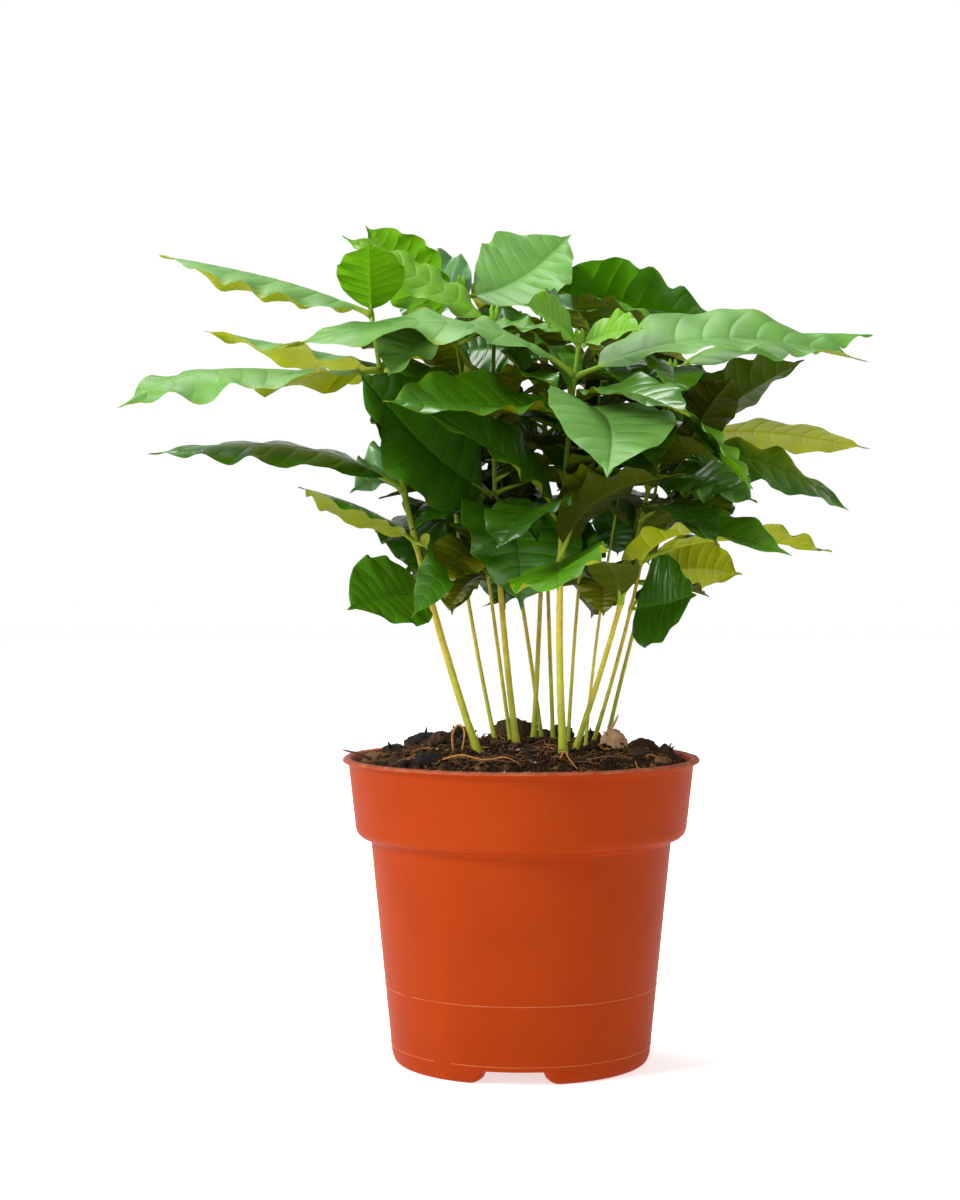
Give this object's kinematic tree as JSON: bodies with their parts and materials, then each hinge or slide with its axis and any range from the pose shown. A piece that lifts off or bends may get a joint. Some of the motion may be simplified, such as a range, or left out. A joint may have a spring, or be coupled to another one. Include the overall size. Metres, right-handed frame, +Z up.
{
  "type": "potted coffee plant",
  "caption": "Young coffee plant: a clump of slender seedlings with glossy wavy leaves in opposite pairs, in a terracotta-coloured nursery pot.",
  "frame": {"origin": "on the floor, under the middle of the pot, which is also the middle of the plant's outer box", "axes": "+Z up, -Y the front of the plant, +X to its right"},
  "size_m": [0.25, 0.18, 0.284],
  "materials": {
    "pot": "satin",
    "soil": "matte",
    "stem": "satin",
    "leaf": "satin"
  },
  "bodies": {
    "root": {"pot": "pot", "soil": "soil", "stem_01": "stem", "stem_02": "stem", "stem_03": "stem", "stem_04": "stem", "stem_05": "stem", "stem_06": "stem", "stem_07": "stem", "stem_08": "stem", "stem_09": "stem", "stem_10": "stem", "stem_11": "stem", "stem_12": "stem", "stem_13": "stem", "leaves_01": "leaf", "leaves_02": "leaf", "leaves_03": "leaf", "leaves_04": "leaf", "leaves_05": "leaf", "leaves_06": "leaf", "leaves_07": "leaf", "leaves_08": "leaf", "leaves_09": "leaf", "leaves_10": "leaf", "leaves_11": "leaf", "leaves_12": "leaf", "leaves_13": "leaf"}
  },
  "joints": []
}
